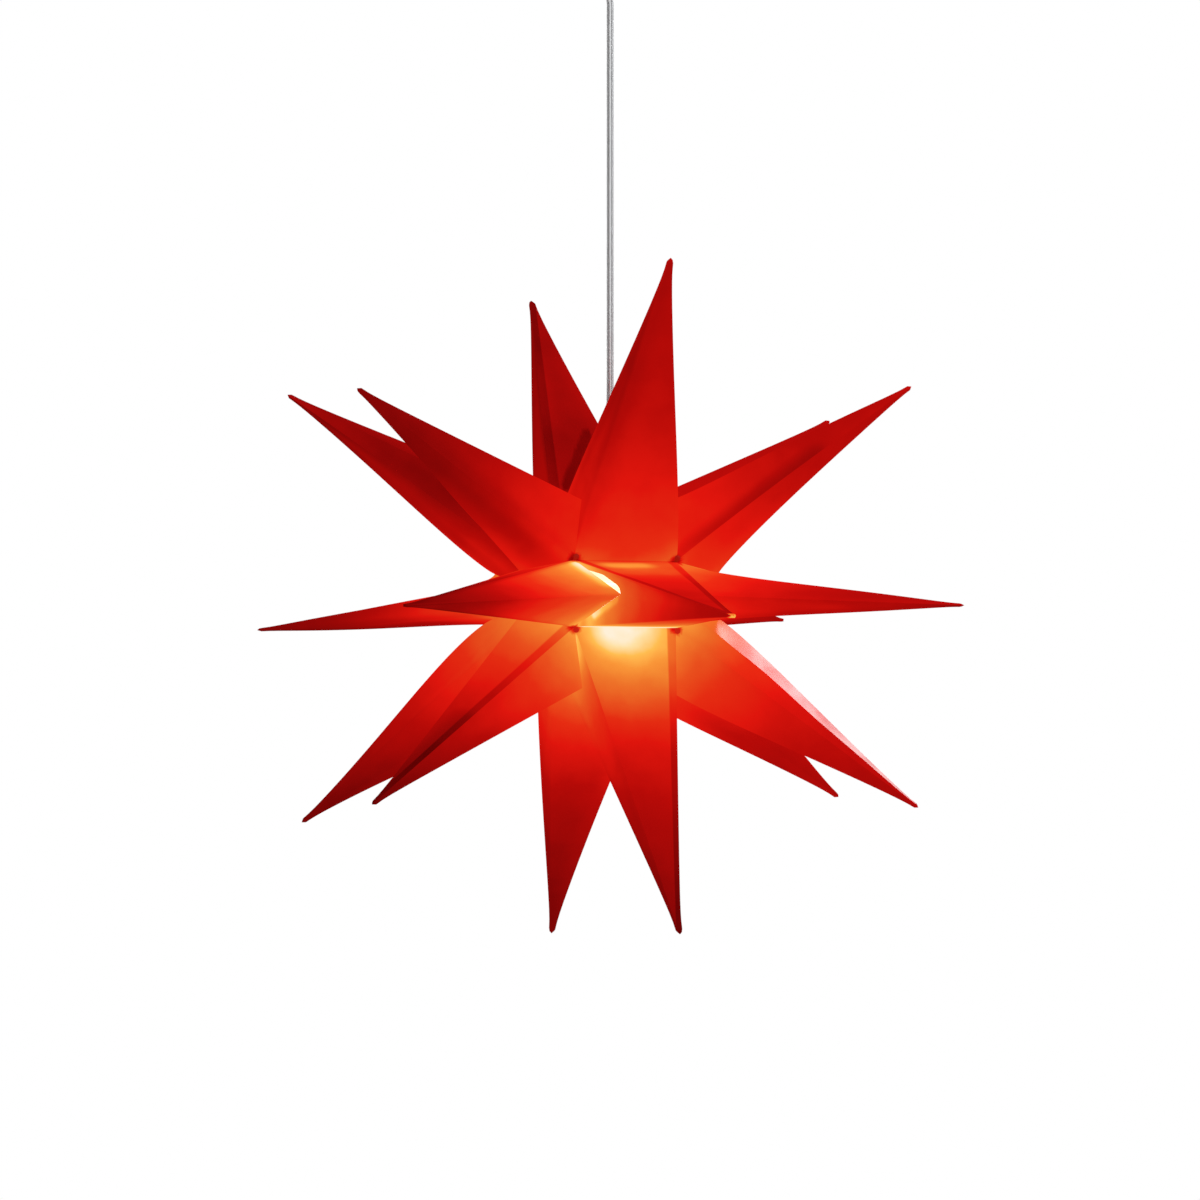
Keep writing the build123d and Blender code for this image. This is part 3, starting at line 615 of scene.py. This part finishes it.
# %% Lines of a base
notch_columns = 28
slit_width = 0.0001                 # the edges of a closed notch nearly touch
open_slits = {"upper": 0.0044, "lower": 0.0001}
slit_rise = (0.28, 0.52)            # share of the way to the bottom of the notch where a slit opens
slit_round = 0.88                   # where its round end starts


def edge_line(start, end, columns):
    """Straight line of places in even steps."""
    return start + (end - start) * np.linspace(0, 1, columns)[:, None]


def slit_line(start, end, width, towards):
    """Line pushed sideways by a slit's width: an eased rise, a level part and a round end."""
    share = np.linspace(0, 1, notch_columns)[:, None]
    along = (end - start) / np.linalg.norm(end - start)
    across = towards - start - along * np.dot(towards - start, along)
    past = np.clip((share - slit_round) / (1 - slit_round), 0, 1)
    gape = width * smooth_step(share, *slit_rise) * np.sqrt(1 - past**2)
    return edge_line(start, end, notch_columns) + across / np.linalg.norm(across) * gape


def notch_line(leaf, side, labels, start, end, tip):
    """The two edges of a notch, from one corner down to its bottom and back up to the other."""
    bottom = notch_bottom(leaf, side)
    gaping = leaf == "front" and side == hands["left"]
    widths = [open_slits[label] if gaping else slit_width for label in labels]
    down = slit_line(start, bottom, widths[0], tip)
    back = slit_line(end, bottom, widths[1], tip)[::-1]
    return np.concatenate([down, back[1:]])

# %% [markdown]
# ## Folding a point
# A real point is one sheet, scored and folded at its ridges, with a lap where its two ends are
# joined. On the grid, columns run from base to tip, and each ridge is a column, so the fold stays
# sharp. Between ridges the walls swell and sink by about a millimetre, as thin film does. A second
# grid just inside the first one gives the sheet its inner side. Glow and lap are kept at the corners
# of the faces, not at the points, so two walls that share a ridge can differ there.

# %% Shape of the walls
rows = 52
row_power = 1.5                     # rows lie closer near the base
tip_blunt = 0.014                   # the last row of the grid stops this share short of the tip
tip_width = 0.052                   # width of the blunt tip, as a share of the base
waist_power = 0.6                   # a waist lies nearer to the base than to the tip
swell = 0.0009                      # height of the swelling of a wall
swell_rise = 8                      # it is full from one part in this many of the length
random_walls = np.random.default_rng(18)
row_share = np.linspace(0, 1, rows)[:, None] ** row_power * (1 - tip_blunt)


def outward_normal(wall, tip, inside):
    """Normal of a wall's plane, turned away from a place inside the point, and the turn's sign."""
    begin, end = wall["plane"]
    normal = np.cross(end - begin, tip - begin)
    normal /= np.linalg.norm(normal)
    sign = np.sign(np.dot(normal, begin - inside))
    return normal * sign, int(sign)


def swelling(count):
    """Swelling of a wall: a sine across it, times a slow sine along it that fades at both ends."""
    share = row_share[..., None]
    across = np.linspace(0, 1, count)[None, :, None]
    phase, waves = random_walls.uniform(0, 1), random_walls.uniform(1.2, 2.4)
    wave = np.sin(np.pi * across) * np.sin(2 * np.pi * (share * waves + phase)) * (1 - share)
    return swell * wave * np.minimum(1, share * swell_rise)


def tapered(base, tip, waist, bend):
    """Axis and section of each row: the axis bends by a sine, the base outline shrinks to a blunt tip.

    The section's width falls in a straight line, rounded off at the tip, and a waist takes a sine off it.
    """
    share = row_share[..., None]
    axis = base.mean(0) * (1 - share) + tip * share
    axis = axis + np.sin(np.pi * share) * np.array([bend[0], 0, bend[1]])
    width = np.hypot(1 - share, tip_width) * (1 - waist * np.sin(np.pi * share**waist_power))
    return axis, axis + (base - base.mean(0)) * width


print("rows of a point:", rows)

# %% Marks on a wall
gather_loss = 0.34                  # glow lost where the film is gathered round a stud
gather_spot = (0.0030, 0.0062)      # distances from the stud where that loss is full, and where it ends
lap_far = 0.050                     # distance kept where no lap is near
lap_taper = 0.55                    # share of its width that a lap loses towards the tip
leak_glow = 0.88                    # glow of the open end of a tip


def wall_place(line, tip, across, share):
    """Place on a wall, from its share across the base line and its share of the way to the tip."""
    base = line[round(across * (len(line) - 1))]
    return base + (tip - base) * share


def line_distance(places, start, end):
    """Distance of each place from the straight piece between two ends."""
    way = end - start
    part = np.clip((places - start) @ way / (way @ way), 0, 1)
    return np.linalg.norm(places - start - part[..., None] * way, axis=-1)


def marked(glow, wall, patch, tip):
    """Glow with the dark gathers round the studs, the wall's marks and its leak of light."""
    for corner in wall["studs"]:
        reach = np.linalg.norm(patch - corner, axis=-1)
        glow = glow - gather_loss * (1 - smooth_step(reach, *gather_spot))
    for first, last, spread, strength in wall["marks"]:
        ends = (wall_place(wall["line"], tip, *place) for place in (first, last))
        glow = glow + strength * (1 - smooth_step(line_distance(patch, *ends), *spread))
    return np.clip(np.where(row_share > wall["leak"], leak_glow, glow), 0, 1)


def lap_distance(wall, patch, tip):
    """Distance from the nearest doubled ridge of this wall, stretched so that laps taper to the tip."""
    lap = np.full(patch.shape[:2], lap_far)
    for corner in wall["laps"]:
        lap = np.minimum(lap, line_distance(patch, corner, tip) / (1 - lap_taper * row_share))
    return lap


def soften_ridges(glows, patches, reach):
    """Evens out the glow on both sides of each ridge, fading by a bell curve of the distance."""
    softened = [glow.copy() for glow in glows]
    for before in range(len(glows)):
        after = (before + 1) % len(glows)
        step = (glows[after][:, :1] - glows[before][:, -1:]) / 2
        for number, ridge, change in ((before, -1, step), (after, 0, -step)):
            away = np.linalg.norm(patches[number] - patches[number][:, [ridge]], axis=-1)
            softened[number] += change * np.exp(-((away / reach) ** 2))
    return softened


def wall_layers(name, walls, patches, normals, tip):
    """Glow and lap on each wall's grid, as flat lists that end with the last row's mean for the tip."""
    glows = []
    for wall, patch, normal in zip(walls, patches, normals):
        at_base, at_tip = wall["gain"]
        gain = at_base * (1 - row_share) + at_tip * row_share
        glows.append(glow_on(patch, normal, row_share, name) + gain)
    layers = []
    softened = soften_ridges(glows, patches, ridge_reaches.get(name, ridge_reach))
    for wall, patch, glow in zip(walls, patches, softened):
        grids = {"glow": marked(glow, wall, patch, tip), "lap": lap_distance(wall, patch, tip)}
        layers.append({label: np.append(grid.ravel(), grid[-1].mean()) for label, grid in grids.items()})
    return layers

# %% Sheets of a point
def wall_sheets(count, numbers, below, sign, shiny):
    """Faces of a wall: outer sheet, inner sheet and base rim.

    Each entry has the mesh's corner numbers, the same corners on the wall's own grid, and the
    material's number. The grid's last number is the tip. The outer sheet is shiny up to this share.
    """
    squares = grid_faces(rows, count, False)
    first = np.arange(count - 1)
    last = first + (rows - 1) * count
    fan = np.stack([last, last + 1, np.full(count - 1, rows * count)], -1)
    rim = np.stack([first + 1, first, first, first + 1], -1)
    outside = np.where(first + 1 <= shiny * (count - 1), shiny_film, outer_film)
    sheets = []
    for grid in (squares, fan):
        side = np.resize(outside, len(grid))
        sheets.append((numbers[grid][:, ::sign], grid[:, ::sign], side))
        sheets.append((numbers[grid][:, ::-sign] + below, grid[:, ::-sign], np.full_like(side, inner_film)))
    rim_numbers = numbers[rim] + np.array([0, 0, below, below])
    return [*sheets, (rim_numbers[:, ::sign], rim[:, ::sign], np.full_like(first, outer_film))]


def joined_sheets(walls, rings, signs, layers, columns):
    """Faces of all walls, their material numbers, and the glow and lap at each face's corners."""
    faces, sides = [], []
    kept = {"glow": [], "lap": []}
    below = rows * columns + 1
    for wall, ring, sign, layer in zip(walls, rings, signs, layers):
        numbers = np.append((np.arange(rows)[:, None] * columns + ring).ravel(), below - 1)
        for corners, places, side in wall_sheets(len(ring), numbers, below, sign, wall["shiny"]):
            faces += corners.tolist()
            sides += side.tolist()
            for label, flat in layer.items():
                kept[label].append(flat[places].ravel())
    return faces, sides, kept


def mark_ridges(mesh, ridges, columns):
    """Marks as sharp each edge whose two ends lie on the same ridge column."""
    ends = np.zeros(len(mesh.edges) * 2, np.int32)
    mesh.edges.foreach_get("vertices", ends)
    column = ends.reshape(-1, 2) % (rows * columns + 1) % columns
    on_ridge = np.isin(column, ridges).all(1) & (column[:, 0] == column[:, 1])
    sharp = mesh.attributes.new("sharp_edge", "BOOLEAN", "EDGE")
    sharp.data.foreach_set("value", on_ridge)

# %% Folded point
inner_share = 0.978                 # size of the inner sheet against the outer one
inside_share = 0.3                  # share of the way from base to tip of a place inside a point


def folded_point(name, walls, tip):
    """Ring of walls from a base outline to a tip: an outer and an inner grid with sharp ridges."""
    base = np.concatenate([wall["line"][:-1] for wall in walls])
    columns = len(base)
    axis, points = tapered(base, tip, waists.get(name, 0.0), bends.get(name, (0, 0)))
    ridges = np.cumsum([0] + [len(wall["line"]) - 1 for wall in walls])[:-1]
    rings = [(ridge + np.arange(len(wall["line"]))) % columns for wall, ridge in zip(walls, ridges)]
    inside = base.mean(0) * (1 - inside_share) + tip * inside_share
    normals, signs = zip(*(outward_normal(wall, tip, inside) for wall in walls))
    for ring, normal in zip(rings, normals):
        points[:, ring] += normal * swelling(len(ring))
    patches = [points[:, ring] for ring in rings]
    layers = wall_layers(name, walls, patches, normals, tip)
    faces, sides, kept = joined_sheets(walls, rings, signs, layers, columns)
    outer = np.concatenate([points.reshape(-1, 3), tip[None]])
    inner = np.concatenate([(axis + (points - axis) * inner_share).reshape(-1, 3), axis[-1]])
    piece = new_piece(name, np.concatenate([outer, inner]), faces, film_materials)
    piece.data.polygons.foreach_set("material_index", np.array(sides, np.int32))
    for label, values in kept.items():
        layer = piece.data.attributes.new(label, "FLOAT", "CORNER")
        layer.data.foreach_set("value", np.concatenate(values).astype(np.float32))
    mark_ridges(piece.data, ridges, columns)
    return piece

# %% [markdown]
# ## Eighteen points
# A middle point has four walls round its rectangle. A side point has five: its inner wall is folded
# in two where it runs into the notch, and its outer wall is a kite that goes on to the drum's axis.
# All eighteen are made by the same two functions, which only name the corners and lay out the lines.

# %% Middle and side points
open_tip = 0.965                    # from this share of its length the front point lets light out
wall_columns, side_columns, outer_columns = 31, 19, 10


def point_walls(name, lines, planes, ridge_corners, studs):
    """Walls of a point in order, each with its line, its plane and all that is special to it."""
    walls = []
    for label, line in lines.items():
        lap_sides = lap_ridges.get(name, {}).get(label, ())
        walls.append({
            "line": line,
            "plane": planes.get(label, (line[0], line[-1])),
            "studs": studs,
            "leak": open_tip if name == "front_middle" else 1.0,
            "gain": wall_gains.get(name, {}).get(label, (0.0, 0.0)),
            "marks": wall_marks.get(name, {}).get(label, ()),
            "shiny": shiny_edges.get(name, {}).get(label, 0.0),
            "laps": [ridge_corners[label, side] for side in lap_sides],
        })
    return walls


def middle_point(leaf):
    """Four walls: upper, left with its notch, lower, right with its notch."""
    name, angle = f"{leaf}_middle", leaf_angles[leaf]
    tip = tip_of(f"{name}_point")
    studs = [
        drum_place(side * drum_half_width, drum_radius, angle + edge)
        for edge in (half_leaf, -half_leaf)
        for side in hands.values()
    ]
    upper_left, upper_right, lower_left, lower_right = studs
    lines = {
        "upper": edge_line(upper_right, upper_left, wall_columns),
        "left": notch_line(leaf, hands["left"], ("upper", "lower"), upper_left, lower_left, tip),
        "lower": edge_line(lower_left, lower_right, wall_columns),
        "right": notch_line(leaf, hands["right"], ("lower", "upper"), lower_right, upper_right, tip),
    }
    planes = {"left": (upper_left, lower_left), "right": (lower_right, upper_right)}
    ridge_corners = {
        ("upper", "left"): upper_left, ("upper", "right"): upper_right,
        ("lower", "left"): lower_left, ("lower", "right"): lower_right,
    }
    return folded_point(name, point_walls(name, lines, planes, ridge_corners, studs), tip)


def side_point(leaf, hand):
    """Inner wall folded in two, lower wall, outer wall to the gather on the axis, upper wall."""
    name, side, angle = f"{leaf}_{hand}", hands[hand], leaf_angles[leaf]
    tip = tip_of(f"{name}_point")
    upper_in = drum_place(side * drum_half_width, drum_radius, angle + half_leaf)
    lower_in = drum_place(side * drum_half_width, drum_radius, angle - half_leaf)
    upper_out = drum_place(side * end_offset, end_radius, angle + half_leaf)
    lower_out = drum_place(side * end_offset, end_radius, angle - half_leaf)
    gather = drum_place(side * gather_offset, 0.0, angle)
    fold = notch_bottom(leaf, side)
    to_gather = edge_line(lower_out, gather, outer_columns)
    from_gather = edge_line(gather, upper_out, outer_columns)
    lines = {
        "inner_upper": edge_line(upper_in, fold, side_columns),
        "inner_lower": edge_line(fold, lower_in, side_columns),
        "lower": edge_line(lower_in, lower_out, side_columns),
        "outer": np.concatenate([to_gather, from_gather[1:]]),
        "upper": edge_line(upper_out, upper_in, side_columns),
    }
    planes = {"outer": (lower_out, upper_out)}
    ridge_corners = {("upper", "inner"): upper_in, ("lower", "inner"): lower_in}
    return folded_point(name, point_walls(name, lines, planes, ridge_corners, (upper_in, lower_in)), tip)

# %% The whole star
star_points = []
for leaf in leaf_angles:
    for place_name in ("left", "middle", "right"):
        piece = middle_point(leaf) if place_name == "middle" else side_point(leaf, place_name)
        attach(piece, "star")
        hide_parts(f"{leaf}_{place_name}_point")
        star_points.append(piece)
print(len(star_points), "points,", sum(len(piece.data.polygons) for piece in star_points), "faces")

# %% [markdown]
# ## Fittings
# The other pieces keep their exact shapes from the frame and only get a finish. Moulded plastic is
# never quite even: it has a faint grain, and its gloss varies where hands have been. Plated and bare
# metals have fine marks that run round or along the piece. The pieces next to the bulb and the small
# studs in the film get painted light: a glow that stands for the bulb's light on them.

# %% Finishes of the fittings
plastic_shade, metal_shade = 0.86, 0.8                   # darkest clouding of the colour
plastic_spread, metal_spread = (0.8, 1.25), (0.7, 1.4)   # unevenness of the roughness


def moulded_finish(name, colour, roughness, **sockets):
    """Moulded plastic: soft clouding of the colour, uneven gloss and a fine grain."""
    material, tree, shader = new_finish(name, colour, roughness, **sockets)
    add_clouds(tree, add_noise(tree, 70.0, 4.0), shader, colour, plastic_shade)
    spread = [roughness * part for part in plastic_spread]
    gloss = add_uneven(tree, add_noise(tree, 240.0, 3.0), spread)
    tree.links.new(gloss, shader.inputs["Roughness"])
    add_bump(tree, add_noise(tree, 2200.0, 2.0), shader, 0.00008, 0.35)
    return material


def lit_finish(name, colour, roughness, light, stops, gloss=0.5):
    """Plastic with painted light from the bulb: its glow follows its height by (height, share) stops."""
    material = moulded_finish(name, colour, roughness, Emission_Strength=1.0, Specular_IOR_Level=gloss)
    tree = material.node_tree
    where = tree.nodes.new("ShaderNodeTexCoord")
    parts = tree.nodes.new("ShaderNodeSeparateXYZ")
    tree.links.new(where.outputs["Object"], parts.inputs["Vector"])
    low, high = stops[0][0], stops[-1][0]
    height = add_range(tree, parts.outputs["Z"], low, high, 0.0, 1.0)
    shares = [((z - low) / (high - low), tuple(part * share for part in light)) for z, share in stops]
    light_input = tree.nodes["Principled BSDF"].inputs["Emission Color"]
    tree.links.new(add_ramp(tree, height, shares), light_input)
    return material


def metal_finish(name, colour, roughness, stretch):
    """Metal: fine marks drawn out along one axis, and dull patches."""
    material, tree, shader = new_finish(name, colour, roughness, Metallic=1.0)
    scratches = add_noise(tree, 900.0, 3.0, stretch)
    spread = [roughness * part for part in metal_spread]
    tree.links.new(add_uneven(tree, scratches, spread), shader.inputs["Roughness"])
    add_clouds(tree, add_noise(tree, 120.0, 3.0), shader, colour, metal_shade)
    add_bump(tree, scratches, shader, 0.00004, 0.4)
    return material

# %% Fittings in their finishes
warm_light = (1.0, 0.85, 0.50)
dome_light = (1.0, 0.93, 0.78)
stud_light = (0.50, 0.012, 0.004)
middle_height = star_centre[2]
dome_stops = [(bulb_low[2], 1.0), (bulb_high[2] - 0.012, 1.0), (bulb_high[2], 0.9)]
holder_stops = [(bulb_high[2] - 0.01, 0.95), (middle_height + 0.045, 0.8), (middle_height + 0.09, 0.1)]
stud_stops = [(middle_height - 0.04, 1.0), (middle_height, 0.7), (middle_height + 0.06, 0.5)]
finishes = {
    "stud_plastic": lit_finish("stud_red", (0.12, 0.003, 0.003), 0.6, stud_light, stud_stops, 0.05),
    "clamp_plastic": moulded_finish("clamp_red", (0.30, 0.01, 0.012), 0.35),
    "fitting_metal": metal_finish("zinc_plate", (0.66, 0.66, 0.65), 0.34, (1, 0.1, 1)),
    "grip_plastic": moulded_finish("grip_clear", (0.74, 0.75, 0.75), 0.22, Transmission_Weight=0.5),
    "cord_plastic": moulded_finish("cord_tail_grey", (0.60, 0.60, 0.60), 0.3, Transmission_Weight=0.4),
    "holder_plastic": lit_finish("holder_white", (0.80, 0.79, 0.76), 0.42, warm_light, holder_stops),
    "contact_brass": metal_finish("brass", (0.72, 0.52, 0.22), 0.28, (1, 1, 0.1)),
    "bulb_cap_metal": metal_finish("rolled_sheet", (0.76, 0.76, 0.75), 0.26, (1, 1, 0.1)),
    "collar_plastic": lit_finish("collar_white", (0.86, 0.86, 0.84), 0.38, warm_light, holder_stops),
    "board": moulded_finish("board_white", (0.84, 0.84, 0.80), 0.5),
    "dome_plastic": lit_finish("lit_dome", (0.9, 0.86, 0.78), 0.4, dome_light, dome_stops),
    "cup_plastic": moulded_finish("cup_white", (0.84, 0.84, 0.82), 0.28),
    "block_plastic": moulded_finish("block_pale", (0.74, 0.72, 0.66), 0.45),
    "lead_insulation": moulded_finish("lead_brown", (0.36, 0.24, 0.17), 0.3),
}
dressed = 0
for subpart in frame["record"]["subparts"]:
    node = frame["nodes"][subpart["node"]]
    finish = finishes.get(subpart["material_slot"])
    if finish is None or node.hide_render:
        continue
    node.data.materials.clear()
    node.data.materials.append(finish)
    dressed += 1
print("fittings dressed:", dressed)

# %% [markdown]
# ## Floor, backdrop and light
# The lamp hangs in front of plain white. The world shows white to the camera and in reflections, but
# lights the star only softly. A pale round floor lies below, out of the picture. One lamp stands
# high on the right, where the smooth strip of the lower front right point mirrors it as a pale
# streak, and one broad lamp overhead fills in.

# %% Floor
floor_height = -1.16
floor_radius = 1.5
floor_rings, floor_sides = 12, 96
hub_share = 0.02                    # size of the face in the middle of the floor
floor_clouding = [(0.3, (0.80, 0.80, 0.79)), (0.7, (0.84, 0.84, 0.83))]

ring_radius = floor_radius * np.linspace(hub_share, 1, floor_rings)[:, None]
floor_angle = round_angles(floor_sides)
floor_level = np.full((floor_rings, floor_sides), floor_height)
floor_points = np.stack(
    [ring_radius * np.cos(floor_angle), ring_radius * np.sin(floor_angle), floor_level], -1
)
floor_faces = [*grid_faces(floor_rings, floor_sides, True)[:, ::-1].tolist(), list(range(floor_sides))]

floor_finish, tree, shader = new_finish("pale_floor", (0.82, 0.82, 0.81), 0.7)
floor_tint = add_ramp(tree, add_noise(tree, 3.0, 3.0), floor_clouding)
tree.links.new(floor_tint, shader.inputs["Base Color"])
floor = new_piece("floor", floor_points, floor_faces, [floor_finish])
print("floor", floor_radius * 2, "m across")

# %% World and lamps
ambient = 0.45                      # light that the white surroundings give to the star
world = bpy.data.worlds.new("white_room")
world.use_nodes = True
scene.world = world
tree = world.node_tree
rays = tree.nodes.new("ShaderNodeLightPath")
seen = add_math(tree, "MAXIMUM", rays.outputs["Is Camera Ray"], rays.outputs["Is Glossy Ray"])
seen = add_math(tree, "MAXIMUM", seen, rays.outputs["Is Transmission Ray"])
strength = add_range(tree, seen, 0.0, 1.0, ambient, 1.0)
background = tree.nodes["Background"]
background.inputs["Color"].default_value = (1, 1, 1, 1)
tree.links.new(strength, background.inputs["Strength"])


def soft_lamp(name, way, distance, size, power):
    """Square area lamp at this distance from the star's centre, looking at it."""
    lamp = bpy.data.objects.new(name, bpy.data.lights.new(name, "AREA"))
    scene.collection.objects.link(lamp)
    lamp.data.size = size
    lamp.data.energy = power
    outward = Vector(way).normalized()
    lamp.location = Vector(star_centre) + outward * distance
    lamp.rotation_euler = outward.to_track_quat("Z", "Y").to_euler()
    return lamp


lamps = [
    soft_lamp("gloss_lamp", (0.70, -0.27, 0.66), distance=2.05, size=0.70, power=17),
    soft_lamp("top_lamp", (0.1, -0.3, 1.0), distance=2.2, size=1.6, power=14),
]
print("lamps:", [lamp.name for lamp in lamps])
